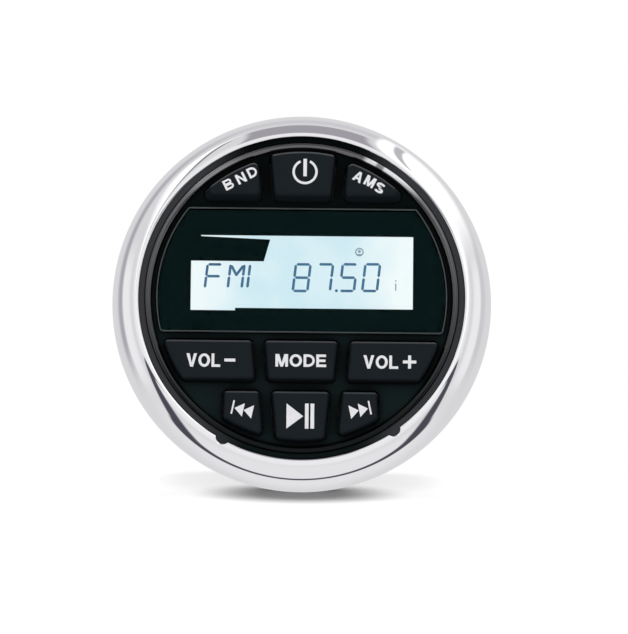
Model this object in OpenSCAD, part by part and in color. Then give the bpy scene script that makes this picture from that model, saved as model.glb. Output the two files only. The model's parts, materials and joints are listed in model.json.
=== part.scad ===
// Round in-dash marine stereo: domed chrome ring, black face with nine keys and
// a lit display, and a sealed barrel behind the panel with a finned heat sink.
// Units are millimetres. The barrel axis runs along Y, the face looks along -Y
// and +Z is up. The origin is on the barrel axis in the plane of the panel.

/* [Ring] */
// Width of the chrome ring from the edge of the face to its widest point
ring_w = 7.7; // [6:0.1:10]
// Height of the ring's front edge above the panel
ring_h = 16.5; // [14:0.1:22]
// Height of the ring's widest point above the panel
ring_wide = 3.5; // [2.5:0.1:6]
// Radius of the ring's rounded front lip
lip_round = 0.6; // [0.3:0.05:0.9]
// How far the ring's front edge stands above the face
lip_h = 1; // [0.7:0.1:2]
// Wall thickness of the hollow ring
shell_t = 1.4; // [1:0.1:1.8]
// How far the ring draws in from its widest point to its rear edge
ring_taper = 1; // [0.4:0.1:2]
// Width of each notch in the lower inner edge of the ring
notch_w = 4; // [2:0.5:6]

/* [Face] */
// Thickness of the face plate
plate_t = 2; // [1.8:0.1:3]
// Thickness of the flange that the ring clips over
flange_t = 2.5; // [2:0.1:2.8]
// Distance from the barrel's outside to the edge of the face
face_margin = 3; // [2.6:0.1:4]
// Width of the black border around the lens and the keys
border_w = 4.8; // [4.6:0.1:6]
// Height of the raised ridge around the face
ridge_h = 1; // [0.4:0.1:1.6]

/* [Keys] */
// How far the keys stand out of the face
key_rise = 2.6; // [1.2:0.1:4]
// Travel of a key from rest to full press
key_travel = 0.6; // [0.3:0.05:1]
// Gap between a key and its opening
key_gap = 0.4; // [0.2:0.05:0.5]
// Lean of the keys' sides in degrees
key_lean = 5.3; // [2:0.1:7]
// Space between neighbouring keys in a row
key_split = 3.2; // [2.6:0.1:4]
// Radius of the keys' corners seen from the front
key_corner = 1.25; // [0.6:0.05:1.6]
// Depth of the sloped edge around the top of a key
key_crown = 0.8; // [0.3:0.1:1.1]
// How far the lower edges of the top keys slope back
key_brow = 1.5; // [0:0.1:2]
// Width of the power key at its lower edge
power_w = 15.9; // [13:0.1:18]
// Width of the mode key at its upper edge
mode_w = 20.6; // [18:0.1:24]
// Width of the play key at its upper edge
play_w = 16.3; // [14:0.1:18]
// Width of each skip key at its upper edge
skip_w = 9.9; // [8:0.1:10.5]
// Height of the middle row of keys
row_h = 11.45; // [10:0.05:12]
// Space between the lens and the row of keys above it
top_gap = 1.85; // [1.5:0.05:3]
// Space between the lens and the row of keys below it
mid_gap = 2.15; // [1.8:0.05:3]
// Space between the middle and lower rows of keys
row_gap = 2.65; // [2.2:0.05:3.5]

/* [Display] */
// Width of the lit display window
window_w = 61.4; // [54:0.2:66]
// Height of the lit display window
window_h = 21; // [18:0.2:23]
// Height of the centre of the window above the barrel axis
window_y = 6.9; // [5:0.1:8]
// Dark margin of the lens above the window
lens_over = 7.6; // [6:0.1:9]
// Dark margin of the lens below the window
lens_under = 6.3; // [5:0.1:8]
// Thickness of the lens
lens_t = 1.6; // [1.4:0.1:2.4]
// How far the lens stands out of the face
lens_rise = 0.8; // [0.4:0.1:1.2]
// Thickness of the display glass
glass_t = 2.2; // [1.6:0.1:3]

/* [Boards] */
// Thickness of both circuit boards
board_t = 1.6; // [1:0.1:2]
// Distance between the two boards
board_gap = 15.8; // [13:0.1:22]
// Width of a push switch
switch_w = 6; // [5:0.1:6.4]
// Height of a push switch's body
switch_h = 3.5; // [3:0.1:5]
// Radius of a switch plunger
plunger_r = 1.7; // [1.2:0.05:1.9]

/* [Housing] */
// Wall thickness of the barrel
wall = 2.2; // [1.6:0.1:3]
// Thickness of the rear wall
rear_t = 2.5; // [2:0.1:4]
// Depth of the barrel behind the panel
barrel_l = 36; // [34:0.5:60]
// Diameter of the screws that hold the stack together
screw_d = 3; // [2.5:0.1:3.2]

/* [Heat sink] */
// Width of the heat sink
sink_w = 48; // [44:0.5:50]
// Height of the heat sink
sink_h = 36; // [32:0.5:37]
// Thickness of the heat sink's base
sink_base = 4; // [3:0.1:6]
// Length of the fins behind the base
fin_l = 8; // [4:0.5:16]
// Thickness of a fin
fin_t = 1.8; // [1:0.1:2.4]

/* [Sockets] */
// Width of the harness socket
harness_w = 28; // [26:0.5:30]
// Height of the harness socket
harness_h = 12; // [11:0.5:13]
// Outside radius of the aerial socket
aerial_r = 5.5; // [5.2:0.1:5.8]
// How far the aerial socket stands out behind the barrel
aerial_out = 10; // [6:0.5:14]

/* [Mounting] */
// Thickness of the panel gasket
gasket_t = 1.5; // [1.2:0.1:3]
// Distance between the two rear studs
stud_span = 63; // [60:0.5:66]
// Diameter of the rear studs
stud_d = 5; // [4:0.5:6]
// Length of the rear studs behind the barrel
stud_l = 20; // [14:1:40]

/* [Hidden] */
$fn = 96;

// Clearances
slip = 0.05;
loose = 0.2;
play = 0.3;
over = 1;

// Display stack, sized from the window
frame_margin = 2.5;
frame_wall = 1.1;
frame_hw = window_w / 2 + frame_margin;
frame_hh = window_h / 2 + frame_margin;
strip_w = 2;
guide_hh = frame_hh - frame_wall - strip_w - 0.5;
frame_corner = norm([frame_hw, abs(window_y) + frame_hh]);

// Radii about the axis, worked outward from the display frame's corner.
// The barrel is rounded up to a whole tenth of a millimetre.
frame_room = 1.05;
barrel_r = ceil((frame_corner + frame_room + wall) * 10) / 10;
bore_r = barrel_r - wall;
cover_r = bore_r + 0.4 * wall;
lip_r = barrel_r + 2;
face_r = barrel_r + face_margin;
field_r = face_r - border_w;
bezel_r = face_r + ring_w;
skirt_r = bezel_r - ring_taper;
flange_r = skirt_r - shell_t - 0.15;
plate_r = face_r + shell_t - 0.1;
crest_r = face_r + lip_round;
wall_r = face_r - 0.5;
cup_r = field_r + 1.5;
seal_r = lip_r - 1.1;
seal_half = 0.6;
power_bulge = 0.75;

// Levels along the axis, measured forward of the panel
key_room = key_travel + 0.9;
face_z = ring_h - lip_h;
back_z = face_z - plate_t;
inner_z = back_z - key_room;
flange_top = gasket_t + flange_t;
key_top = face_z + key_rise;
flange_gap = 0.05;
key_flange_t = 0.9;
key_flange = 0.7;
cap_z = inner_z + key_travel + 0.35;
frame_top = back_z - 0.4;
glass_z = frame_top - glass_t;
guide_t = 3.8;
floor_t = 1.6;
board_z = glass_z - guide_t - floor_t;
switch_top = board_z + switch_h;
plunger_top = switch_top + key_travel + 0.7;
plunger_in = 1.5;
mat_t = 0.8;
control_back = board_z - board_t;
main_front = control_back - board_gap;
main_back = main_front - board_t;
rear_z = -barrel_l;
amp_t = 4.5;
lead_l = 9.5;
amp_back = main_back - lead_l;
pad_t = 0.5;
pad_back = amp_back - pad_t;
sink_seal_t = 0.8;
sink_z = rear_z - sink_seal_t;

// Rows of the face, worked outward from the lens
lens_top = window_y + window_h / 2 + lens_over;
lens_low = window_y - window_h / 2 - lens_under;
top_row = lens_top + top_gap;
mid_row = lens_low - mid_gap;
mid_low = mid_row - row_h;
low_row = mid_low - row_gap;
slope = tan(key_lean);
skip_flare = tan(2);
far = field_r + 5;

// Screw posts: beside the display, and in the nooks below the volume keys
screw_r = screw_d / 2;
post_r = screw_r + 0.8;
post_base = screw_r + 2.1;
post_at = bore_r - post_r - loose;
nook_y = mid_low - key_flange - post_r - 0.7;
post_spots = [for (y = [window_y, nook_y], s = [-1, 1]) [s * sqrt(post_at * post_at - y * y), y]];

// Keys in order: band, power, memory, volume down, mode, volume up, previous, play, next
stem_r = 2;
top_x = power_w / 2 + key_split + 5.3;
mid_x = mode_w / 2 + key_split + 10;
low_x = play_w / 2 + key_split + skip_w / 2 - 0.4;
key_spots = [
  [-top_x, top_row + 4], [0, top_row + 6.5], [top_x, top_row + 4],
  [-mid_x, (mid_row + mid_low) / 2], [0, (mid_row + mid_low) / 2], [mid_x, (mid_row + mid_low) / 2],
  [-low_x, low_row - 4.8], [0, low_row - 6.5], [low_x, low_row - 4.8]
];

// Rear layout: heat sink, then the aerial socket above it and the harness socket below it
sink_y = 7;
fin_count = 9;
foot_w = sink_w - 6;
foot_h = sink_h / 2;
sink_hole = 3.5;
sink_spots = [for (sx = [-1, 1], sy = [-1, 1])
  [sx * (sink_w / 2 - sink_hole), sink_y + sy * (sink_h / 2 - sink_hole)]];
amp_w = foot_w - 14;
amp_h = foot_h - 2;
clamp_x = foot_w / 2 - 3.2;
nut_r = aerial_r + 1.4;
nut_t = 3;
aerial_y = sink_y + sink_h / 2 + 1 + nut_r * cos(30);
aerial_wall = 1;
aerial_depth = 14;
aerial_end = rear_z - aerial_out;
harness_y = sink_y - sink_h / 2 - 7 - harness_h / 2;
harness_wall = 1.5;
harness_depth = 13;
harness_out = 3;
pin_count = 8;
pin_pitch = 3;
stud_shank = stud_d / 2 + 0.5;
insert_r = stud_shank + 0.9;
insert_l = 8.5;

// Placing: the shapes below are drawn with the face looking along +Z
module front() rotate([90, 0, 0]) children();
module at(spots) for (p = spots) translate([p[0], p[1], 0]) children();
module rod(r, z0, z1) translate([0, 0, z0]) cylinder(r = r, h = z1 - z0);
module pipe(r_out, r_in, z0, z1) difference() {
  rod(r_out, z0, z1);
  rod(r_in, z0 - over, z1 + over);
}
// Block centred on x = 0 and y = cy
module block(w, h, cy, z0, z1) translate([-w / 2, cy - h / 2, z0]) cube([w, h, z1 - z0]);

// Straight-sided shape of a key before its arc and rounded corners
function centre_key(w, y0, y1) = let (h0 = w / 2, h1 = h0 + slope * (y1 - y0))
  [[-h0, y0], [h0, y0], [h1, y1], [-h1, y1]];
function side_key(s, x0, y0, y1, out0, out1) =
  [[s * x0, y0], [s * out0, y0], [s * out1, y1], [s * (x0 + slope * (y1 - y0)), y1]];
function key_shape(i) = let (s = i % 3 - 1)
  i == 1 ? centre_key(power_w, top_row, far) :
  i == 4 ? centre_key(mode_w, mid_row, mid_low) :
  i == 7 ? centre_key(play_w, low_row, -far) :
  i < 3 ? side_key(s, power_w / 2 + key_split, top_row, far, far, far) :
  i < 6 ? side_key(s, mode_w / 2 + key_split, mid_row, mid_low, far, far) :
  let (out = play_w / 2 + key_split + skip_w)
    side_key(s, play_w / 2 + key_split, low_row, -far, out, out + skip_flare * (low_row + far));

// Outline of one key, grown outward by g
module key_outline(i, g) {
  c = i == 0 || i == 2 ? key_corner + 0.5 : key_corner;
  offset(r = c + g, $fn = 24) offset(delta = -c) intersection() {
    polygon(key_shape(i));
    circle(r = field_r + (i == 1 ? power_bulge : 0));
  }
}

// Outline of the lens, grown outward by g
module lens_outline(g) {
  c = 1;
  offset(r = c + g, $fn = 24) offset(delta = -c) intersection() {
    circle(r = field_r);
    translate([-far, lens_low]) square([2 * far, lens_top - lens_low]);
  }
}

// Clear opening in the mask, with a stepped lower edge and a dark bar at its upper left
bar_w = 21.8;
bar_h = 6.1;
bar_drop = 1.1;
bar_lean = 1.7;
step_w = 12.3;
step_h = 0.7;
function window_shape() = let (l = -window_w / 2, t = window_y + window_h / 2, b = t - window_h)
  [[l, b], [l + step_w, b], [l + step_w, b + step_h], [-l, b + step_h], [-l, t], [l + 2.7, t],
   [l + 2.7, t - 0.3], [l + bar_w, t - bar_drop], [l + bar_w - bar_lean, t - bar_drop - bar_h],
   [l, t - bar_drop - bar_h]];

// Outline of one key part of the way up, whose lower flank slopes back on the top row
module key_step(i, g, back) {
  intersection() {
    key_outline(i, g);
    translate([0, i < 3 ? back : 0]) key_outline(i, g);
  }
}

// One key: crowned cap, retaining flange behind the face and stem to its switch
module key_solid(i) {
  side_h = max(slip, key_rise - key_crown);
  color([0.14, 0.15, 0.17]) front() {
    hull() {
      translate([0, 0, cap_z]) linear_extrude(face_z - cap_z) key_outline(i, 0);
      translate([0, 0, face_z]) linear_extrude(side_h) key_step(i, 0, 0.65 * key_brow);
      translate([0, 0, key_top - slip]) linear_extrude(slip) key_step(i, -0.75 * key_crown, key_brow);
    }
    translate([0, 0, back_z - flange_gap - key_flange_t]) linear_extrude(key_flange_t) intersection() {
      key_outline(i, key_flange);
      circle(r = bore_r - play);
    }
    at([key_spots[i]]) rod(stem_r, plunger_top, back_z - key_flange_t / 2);
  }
}

// One switch plunger, guided in the bore of its switch
module plunger_solid(i) {
  color([0.75, 0.72, 0.65]) front() at([key_spots[i]]) rod(plunger_r, switch_top - plunger_in, plunger_top);
}

// Hollow domed chrome ring that clips behind the edge of the flange
module bezel_ring() {
  foot = face_z + slip / 2;
  heel = gasket_t / 3;
  hook = gasket_t - 0.1;
  skirt_in = skirt_r - shell_t;
  dome_w = bezel_r - crest_r;
  dome_h = ring_h - ring_wide;
  step_r = plate_r + 0.1;
  step_a = acos((step_r - crest_r) / (dome_w - shell_t));
  function bow(w, h, a, b, n) = [for (k = [0:n]) let (t = a + (b - a) * k / n)
    [crest_r + w * cos(t), ring_wide + h * sin(t)]];
  function lip(n) = [for (k = [1:n]) let (t = 90 + 90 * k / n)
    [crest_r + lip_round * cos(t), ring_h - lip_round * (1 - sin(t))]];
  color([0.84, 0.84, 0.86]) front() difference() {
    rotate_extrude($fn = 180) polygon(concat(
      [[skirt_r, heel]], bow(dome_w, dome_h, 0, 90, 24), lip(6),
      [[face_r, foot], [step_r, foot]], bow(dome_w - shell_t, dome_h - shell_t, step_a, 0, 16),
      [[skirt_in + 0.1, hook], [skirt_in - 0.1, hook], [skirt_in - 0.7, hook - 0.5], [skirt_in - 0.7, heel]]
    ));
    // Two scalloped notches in the lower inner edge
    for (a = [-28.5, 35]) rotate(a - 90) translate([face_r - 0.2 * notch_w, 0, 0])
      rod(notch_w / 2, foot - over, ring_h + over);
  }
}

// Black front moulding: face plate with its ridge on a round wall, flange behind the ring, screw posts
module fascia() {
  ridge_out = face_r - 1.6;
  ridge_in = face_r - 3.5;
  color([0.05, 0.055, 0.06]) front() difference() {
    union() {
      rotate_extrude($fn = 180) polygon([
        [0, back_z], [cup_r, back_z], [cup_r, gasket_t],
        [seal_r - seal_half, gasket_t], [seal_r - seal_half, gasket_t + 0.85],
        [seal_r + seal_half, gasket_t + 0.85], [seal_r + seal_half, gasket_t],
        [flange_r, gasket_t], [flange_r, flange_top], [wall_r, flange_top],
        [wall_r, back_z], [plate_r, back_z], [plate_r, face_z],
        [ridge_out, face_z], [ridge_out - 0.35, face_z + 0.75 * ridge_h],
        [ridge_out - 0.7, face_z + ridge_h],
        [ridge_in + 0.6, face_z + ridge_h], [ridge_in + 0.3, face_z + 0.8 * ridge_h], [ridge_in, face_z],
        [0, face_z]
      ]);
      at(post_spots) rod(post_r, board_z, back_z + 0.5);
    }
    for (i = [0:8]) translate([0, 0, back_z - over])
      linear_extrude(plate_t + 2 * over) key_outline(i, key_gap);
    translate([0, 0, face_z + lens_rise - lens_t - loose]) linear_extrude(lens_t + over) lens_outline(0.12);
    block(2 * frame_hw - 1.6, 2 * frame_hh - 1.6, window_y, back_z - over, face_z);
    at(post_spots) rod(screw_r + slip, board_z - over, back_z - 0.8);
  }
}

module face_seal() {
  color([0.12, 0.12, 0.12]) front() rotate_extrude() translate([seal_r, gasket_t + 0.42])
    circle(r = 0.41, $fn = 24);
}

module display_lens() {
  edge = 0.3;
  color([0.1, 0.12, 0.12, 0.6]) front() translate([0, 0, face_z + lens_rise - lens_t]) hull() {
    linear_extrude(lens_t - edge) lens_outline(0);
    linear_extrude(lens_t) lens_outline(-edge);
  }
}

// Black print behind the lens
module lens_mask() {
  color([0.02, 0.03, 0.03]) front() translate([0, 0, face_z + lens_rise - lens_t - loose])
    linear_extrude(loose) difference() {
      lens_outline(-play);
      polygon(window_shape());
    }
}

module key_band() { key_solid(0); }
module key_power() { key_solid(1); }
module key_memory() { key_solid(2); }
module key_volume_down() { key_solid(3); }
module key_mode() { key_solid(4); }
module key_volume_up() { key_solid(5); }
module key_previous() { key_solid(6); }
module key_play() { key_solid(7); }
module key_next() { key_solid(8); }

module plunger_band() { plunger_solid(0); }
module plunger_power() { plunger_solid(1); }
module plunger_memory() { plunger_solid(2); }
module plunger_volume_down() { plunger_solid(3); }
module plunger_mode() { plunger_solid(4); }
module plunger_volume_up() { plunger_solid(5); }
module plunger_previous() { plunger_solid(6); }
module plunger_play() { plunger_solid(7); }
module plunger_next() { plunger_solid(8); }

// Silicone sheet on the switches, open around the stems, posts and display
module key_mat() {
  low = switch_top - over;
  high = switch_top + mat_t + over;
  color([0.3, 0.3, 0.32]) front() difference() {
    rod(bore_r - 0.4, switch_top, switch_top + mat_t);
    block(2 * (frame_hw + play), 2 * (frame_hh + play), window_y, low, high);
    at(key_spots) rod(stem_r + 0.4, low, high);
    at(post_spots) rod(post_r + 0.1, low, high);
  }
}

module tact_switches() {
  color([0.1, 0.1, 0.11]) front() at(key_spots) difference() {
    block(switch_w, switch_w, 0, board_z, switch_top);
    rod(plunger_r + slip, board_z + 0.6, switch_top + over);
  }
}

module control_board() {
  color([0.05, 0.3, 0.16]) front() difference() {
    rod(bore_r - 0.5, control_back, board_z);
    at(post_spots) rod(screw_r + loose, control_back - over, board_z + over);
  }
}

module control_chip() {
  color([0.08, 0.08, 0.08]) front() block(14, 14, 8, control_back - 1.5, control_back);
}

module lcd_panel() {
  color([0.8, 0.92, 0.95]) front()
    block(2 * (frame_hw - frame_wall - 0.1), 2 * (frame_hh - frame_wall - 0.1), window_y,
      glass_z, frame_top);
}

// Places shared by the tray, the contact strips and the lamps
strip_y = frame_hh - frame_wall - strip_w / 2;
led_count = 6;
led_spots = [for (k = [0:led_count - 1])
  [(k - (led_count - 1) / 2) * window_w / (led_count + 0.1), window_y]];

// White tray that carries the glass and the light guide on the control board
module lcd_frame() {
  color([0.92, 0.92, 0.9]) front() difference() {
    block(2 * frame_hw, 2 * frame_hh, window_y, board_z, frame_top);
    block(2 * (frame_hw - frame_wall), 2 * (frame_hh - frame_wall), window_y, glass_z, frame_top + over);
    block(2 * (frame_hw - 2 * frame_wall), 2 * guide_hh, window_y, board_z + floor_t, frame_top);
    for (s = [-1, 1])
      block(2 * frame_hw - 8, strip_w + 0.1, window_y + s * strip_y, board_z - over, frame_top);
    at(led_spots) block(4.4, 4.4, 0, board_z - over, frame_top);
  }
}

module light_guide() {
  color([0.85, 0.95, 1, 0.7]) front()
    block(2 * (frame_hw - 2 * frame_wall) - loose, 2 * guide_hh - loose, window_y,
      board_z + floor_t, glass_z);
}

module contact_strips() {
  color([0.35, 0.3, 0.4]) front() for (s = [-1, 1])
    block(2 * frame_hw - 8.2, strip_w, window_y + s * strip_y, board_z, glass_z);
}

module display_leds() {
  color([0.95, 0.95, 0.8]) front() at(led_spots) block(3.5, 2.8, 0, board_z, board_z + 1.2);
}

// Plug and socket that join the two boards
link_w = 26;
link_h = 5;
link_y = -14.5;
link_pins = 10;
link_pitch = 2.54;
link_mid = (control_back + main_front) / 2 + 1.5;
link_spots = [for (k = [0:link_pins - 1]) [(k - (link_pins - 1) / 2) * link_pitch, link_y]];

module board_plug() {
  color([0.1, 0.1, 0.1]) front() {
    block(link_w, link_h, link_y, link_mid, control_back);
    at(link_spots) block(0.6, 0.6, 0, link_mid - 4.5, link_mid + 0.5);
  }
}

module board_socket() {
  color([0.12, 0.12, 0.12]) front() difference() {
    block(link_w, link_h, link_y, main_front, link_mid);
    at(link_spots) block(0.9, 0.9, 0, link_mid - 5, link_mid + over);
  }
}

module stack_spacers() {
  color([0.78, 0.68, 0.4]) front() at(post_spots)
    pipe(post_r + 0.1, screw_r + loose, main_front, control_back);
}

module main_board() {
  color([0.05, 0.28, 0.18]) front() difference() {
    rod(bore_r - 0.6, main_back, main_front);
    at(post_spots) rod(screw_r + loose, main_back - over, main_front + over);
  }
}

module tuner_can() {
  color([0.75, 0.76, 0.78]) front() block(22, 17, 24.5, main_front, main_front + 5);
}

module radio_module() {
  color([0.1, 0.25, 0.5]) front() translate([-21.5, 0, 0]) block(15, 12, 12, main_front, main_front + 2.4);
}

module capacitors() {
  color([0.12, 0.13, 0.3]) front() for (p = [[-28, -14, 5], [-26.5, 13.5, 4.5], [26.5, 13.5, 4.5]])
    at([p]) rod(p[2], main_back - 11, main_back);
}

module power_inductor() {
  color([0.25, 0.24, 0.24]) front() translate([27, 0, 0]) block(11, 11, -14, main_back - 6, main_back);
}

// Power chip lying flat on the pad, with its leads turned up into the board
module amplifier_chip() {
  edge = sink_y - amp_h / 2;
  leads = 13;
  color([0.09, 0.09, 0.1]) front() {
    block(amp_w, amp_h, sink_y, amp_back, amp_back + amp_t);
    for (k = [0:leads - 1]) translate([(k - (leads - 1) / 2) * (amp_w - 4) / (leads - 1), 0, 0]) {
      block(0.7, 2.5, edge - 0.75, amp_back + 1.5, amp_back + 2.1);
      block(0.7, 0.6, edge - 1.7, amp_back + 1.5, main_back);
    }
  }
}

module thermal_pad() {
  color([0.6, 0.62, 0.65]) front() block(amp_w, amp_h, sink_y, pad_back, amp_back);
}

// Bar over the chip, standing on two legs beside it
module amplifier_clamp() {
  leg_w = 5.4;
  clamp_top = amp_back + amp_t + 1.5;
  color([0.7, 0.71, 0.73]) front() difference() {
    union() {
      block(2 * clamp_x + leg_w, 7, sink_y, amp_back + amp_t, clamp_top);
      for (s = [-1, 1]) translate([s * clamp_x, 0, 0]) block(leg_w, 7, sink_y, pad_back, clamp_top);
    }
    for (s = [-1, 1]) at([[s * clamp_x, sink_y]]) rod(screw_r + 0.1, pad_back - over, clamp_top + over);
  }
}

module clamp_screws() {
  head = amp_back + amp_t + 1.5;
  color([0.7, 0.7, 0.72]) front() for (s = [-1, 1]) at([[s * clamp_x, sink_y]]) {
    rod(screw_r, pad_back - 6, head + 0.5);
    rod(screw_r + 1.1, head, head + 1.8);
  }
}

// Barrel with its front lip and a seat for the rear cover
module housing() {
  color([0.08, 0.08, 0.09]) front() difference() {
    union() {
      rod(barrel_r, rear_z, gasket_t / 2);
      rod(lip_r, 0.1, gasket_t);
    }
    rod(bore_r, rear_z - over, gasket_t + over);
    rod(cover_r + slip, rear_z - over, rear_z + rear_t);
  }
}

// Cover in the rear end of the barrel, with screw posts, bosses and the openings for the sockets
module rear_cover() {
  low = rear_z - over;
  inside = rear_z + rear_t;
  color([0.09, 0.09, 0.1]) front() difference() {
    union() {
      rod(cover_r, rear_z, inside);
      intersection() {
        at(post_spots) rod(post_base, rear_z + 0.5, main_back);
        rod(bore_r - slip, low, 0);
      }
      for (s = [-1, 1]) at([[s * stud_span / 2, 0]])
        rod(insert_r + 1.1, rear_z + 0.5, rear_z + insert_l + 1.5);
      at(sink_spots) rod(post_base - 0.6, rear_z + 0.5, rear_z + 8);
    }
    at(post_spots) {
      rod(screw_r + loose, low, main_back + over);
      rod(screw_r + 1.6, low, rear_z + 2);
    }
    for (s = [-1, 1]) at([[s * stud_span / 2, 0]]) rod(insert_r, low, rear_z + insert_l);
    at(sink_spots) rod(screw_r + slip, low, rear_z + 6.5);
    block(foot_w + 0.4, foot_h + 0.4, sink_y, low, inside + over);
    block(harness_w + 2, harness_h + 2, harness_y, low, inside + over);
    at([[0, aerial_y]]) rod(aerial_r + 0.1, low, inside + over);
  }
}

// Screw with a hexagon socket, its head outside the plane z and its shank reaching to tip
module socket_screw(z, head_h, tip) {
  rod(screw_r, z - head_h / 2, tip);
  difference() {
    rod(screw_r + 1.3, z - head_h, z);
    rod(screw_r - 0.2, z - head_h - over, z - 0.8, $fn = 6);
  }
}

module housing_screws() {
  color([0.75, 0.75, 0.77]) front() at(post_spots) socket_screw(rear_z + 2, 1.8, back_z - 1.2);
}

module panel_gasket() {
  color([0.1, 0.1, 0.1]) front() pipe(flange_r - 1, lip_r + play, 0, gasket_t);
}

// Finned block with a foot that reaches through the rear wall to the chip
module heat_sink() {
  back = sink_z - sink_base;
  fin_pitch = (sink_w - 4) / (fin_count - 1);
  head_room = screw_r + 1.7;
  color([0.6, 0.61, 0.63]) front() difference() {
    union() {
      block(sink_w, sink_h, sink_y, back, sink_z);
      block(foot_w, foot_h, sink_y, sink_z - over, pad_back);
      for (k = [0:fin_count - 1]) translate([(k - (fin_count - 1) / 2) * fin_pitch, 0, 0])
        block(fin_t, sink_h, sink_y, back - fin_l, back + 0.5);
    }
    for (s = [-1, 1]) at([[s * clamp_x, sink_y]]) rod(screw_r + slip, pad_back - 7, pad_back + over);
    at(sink_spots) {
      rod(screw_r + loose, back - fin_l - over, sink_z + over);
      rod(head_room, back - fin_l - over, back);
    }
    // The two outer fins end short of the screw heads
    for (p = sink_spots) {
      x0 = p[0] > 0 ? p[0] - fin_pitch / 2 : p[0] + fin_pitch / 2 - sink_w;
      y0 = p[1] > sink_y ? p[1] - head_room : p[1] + head_room - sink_h;
      translate([x0, y0, back - fin_l - over]) cube([sink_w, sink_h, fin_l + over]);
    }
  }
}

module sink_gasket() {
  color([0.15, 0.15, 0.16]) front() difference() {
    block(sink_w, sink_h, sink_y, sink_z, rear_z);
    block(foot_w + 0.4, foot_h + 0.4, sink_y, sink_z - over, rear_z + over);
    at(sink_spots) rod(screw_r + loose, sink_z - over, rear_z + over);
  }
}

module sink_screws() {
  color([0.75, 0.75, 0.77]) front() at(sink_spots) socket_screw(sink_z - sink_base, 1.8, rear_z + 6);
}

module stud_inserts() {
  color([0.78, 0.66, 0.36]) front() for (s = [-1, 1]) at([[s * stud_span / 2, 0]]) difference() {
    rod(insert_r, rear_z, rear_z + insert_l);
    rod(stud_shank, rear_z - over, rear_z + insert_l - 1);
  }
}

module mount_studs() {
  color([0.75, 0.76, 0.78]) front() for (s = [-1, 1]) at([[s * stud_span / 2, 0]]) {
    rod(stud_shank, rear_z, rear_z + insert_l - 1);
    rod(stud_d / 2, rear_z - stud_l, rear_z + 0.5);
  }
}

pin_spots = [for (k = [0:pin_count - 1], s = [-1, 1])
  [(k - (pin_count - 1) / 2) * pin_pitch, harness_y + s * 2.2]];

// Shrouded socket that stands on the main board and passes through the rear wall
module harness_socket() {
  floor_z = rear_z - harness_out + harness_depth;
  color([0.85, 0.84, 0.78]) front() difference() {
    block(harness_w, harness_h, harness_y, rear_z - harness_out, main_back);
    block(harness_w - 2 * harness_wall, harness_h - 2 * harness_wall, harness_y,
      rear_z - harness_out - over, floor_z);
    at(pin_spots) block(1.1, 1.1, 0, floor_z - over, main_back + over);
  }
}

module harness_pins() {
  color([0.8, 0.68, 0.3]) front() at(pin_spots)
    block(1, 1, 0, rear_z - harness_out + harness_depth - 6, main_back);
}

module harness_seal() {
  color([0.14, 0.14, 0.14]) front() difference() {
    block(harness_w + 1.9, harness_h + 1.9, harness_y, rear_z + loose, rear_z + rear_t - loose);
    block(harness_w, harness_h, harness_y, rear_z - over, rear_z + rear_t + over);
  }
}

module aerial_socket() {
  bore = aerial_r - aerial_wall;
  color([0.78, 0.79, 0.8]) front() at([[0, aerial_y]]) difference() {
    rod(aerial_r, aerial_end, main_back);
    rod(bore, aerial_end - over, aerial_end + aerial_depth);
    rod(bore - 0.3, aerial_end, main_back - 3);
  }
}

module aerial_insert() {
  color([0.9, 0.9, 0.88]) front() at([[0, aerial_y]]) difference() {
    rod(aerial_r - aerial_wall - 0.3, aerial_end + aerial_depth, main_back - 3);
    rod(1.65, aerial_end + aerial_depth - over, main_back - 5);
  }
}

module aerial_nut() {
  color([0.75, 0.76, 0.78]) front() at([[0, aerial_y]]) difference() {
    rod(nut_r, rear_z - nut_t, rear_z, $fn = 6);
    rod(aerial_r + slip, rear_z - nut_t - over, rear_z + over);
  }
}

bezel_ring();
fascia();
face_seal();
display_lens();
lens_mask();
key_band();
key_power();
key_memory();
key_volume_down();
key_mode();
key_volume_up();
key_previous();
key_play();
key_next();
plunger_band();
plunger_power();
plunger_memory();
plunger_volume_down();
plunger_mode();
plunger_volume_up();
plunger_previous();
plunger_play();
plunger_next();
key_mat();
tact_switches();
control_board();
control_chip();
lcd_panel();
lcd_frame();
light_guide();
contact_strips();
display_leds();
board_plug();
board_socket();
stack_spacers();
main_board();
tuner_can();
radio_module();
capacitors();
power_inductor();
amplifier_chip();
thermal_pad();
amplifier_clamp();
clamp_screws();
housing();
rear_cover();
housing_screws();
panel_gasket();
heat_sink();
sink_gasket();
sink_screws();
stud_inserts();
mount_studs();
harness_socket();
harness_pins();
harness_seal();
aerial_socket();
aerial_insert();
aerial_nut();
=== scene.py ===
import json
import math

import bmesh
import bpy
import numpy as np
from mathutils import Matrix, Vector


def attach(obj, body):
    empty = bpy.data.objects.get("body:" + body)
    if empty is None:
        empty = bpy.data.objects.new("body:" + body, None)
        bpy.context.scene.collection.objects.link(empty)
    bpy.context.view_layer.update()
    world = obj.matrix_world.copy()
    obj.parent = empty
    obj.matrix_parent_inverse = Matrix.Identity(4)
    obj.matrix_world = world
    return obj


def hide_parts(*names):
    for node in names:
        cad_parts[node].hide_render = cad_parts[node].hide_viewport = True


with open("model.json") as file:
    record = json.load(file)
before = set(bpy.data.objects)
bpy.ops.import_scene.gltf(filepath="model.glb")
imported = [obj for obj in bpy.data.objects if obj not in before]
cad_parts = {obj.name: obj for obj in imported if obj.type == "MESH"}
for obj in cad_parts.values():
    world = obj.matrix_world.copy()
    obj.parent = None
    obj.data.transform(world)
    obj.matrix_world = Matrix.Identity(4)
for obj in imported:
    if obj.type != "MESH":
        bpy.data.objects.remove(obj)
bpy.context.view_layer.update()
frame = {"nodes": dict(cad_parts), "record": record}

MM = 0.001

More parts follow.
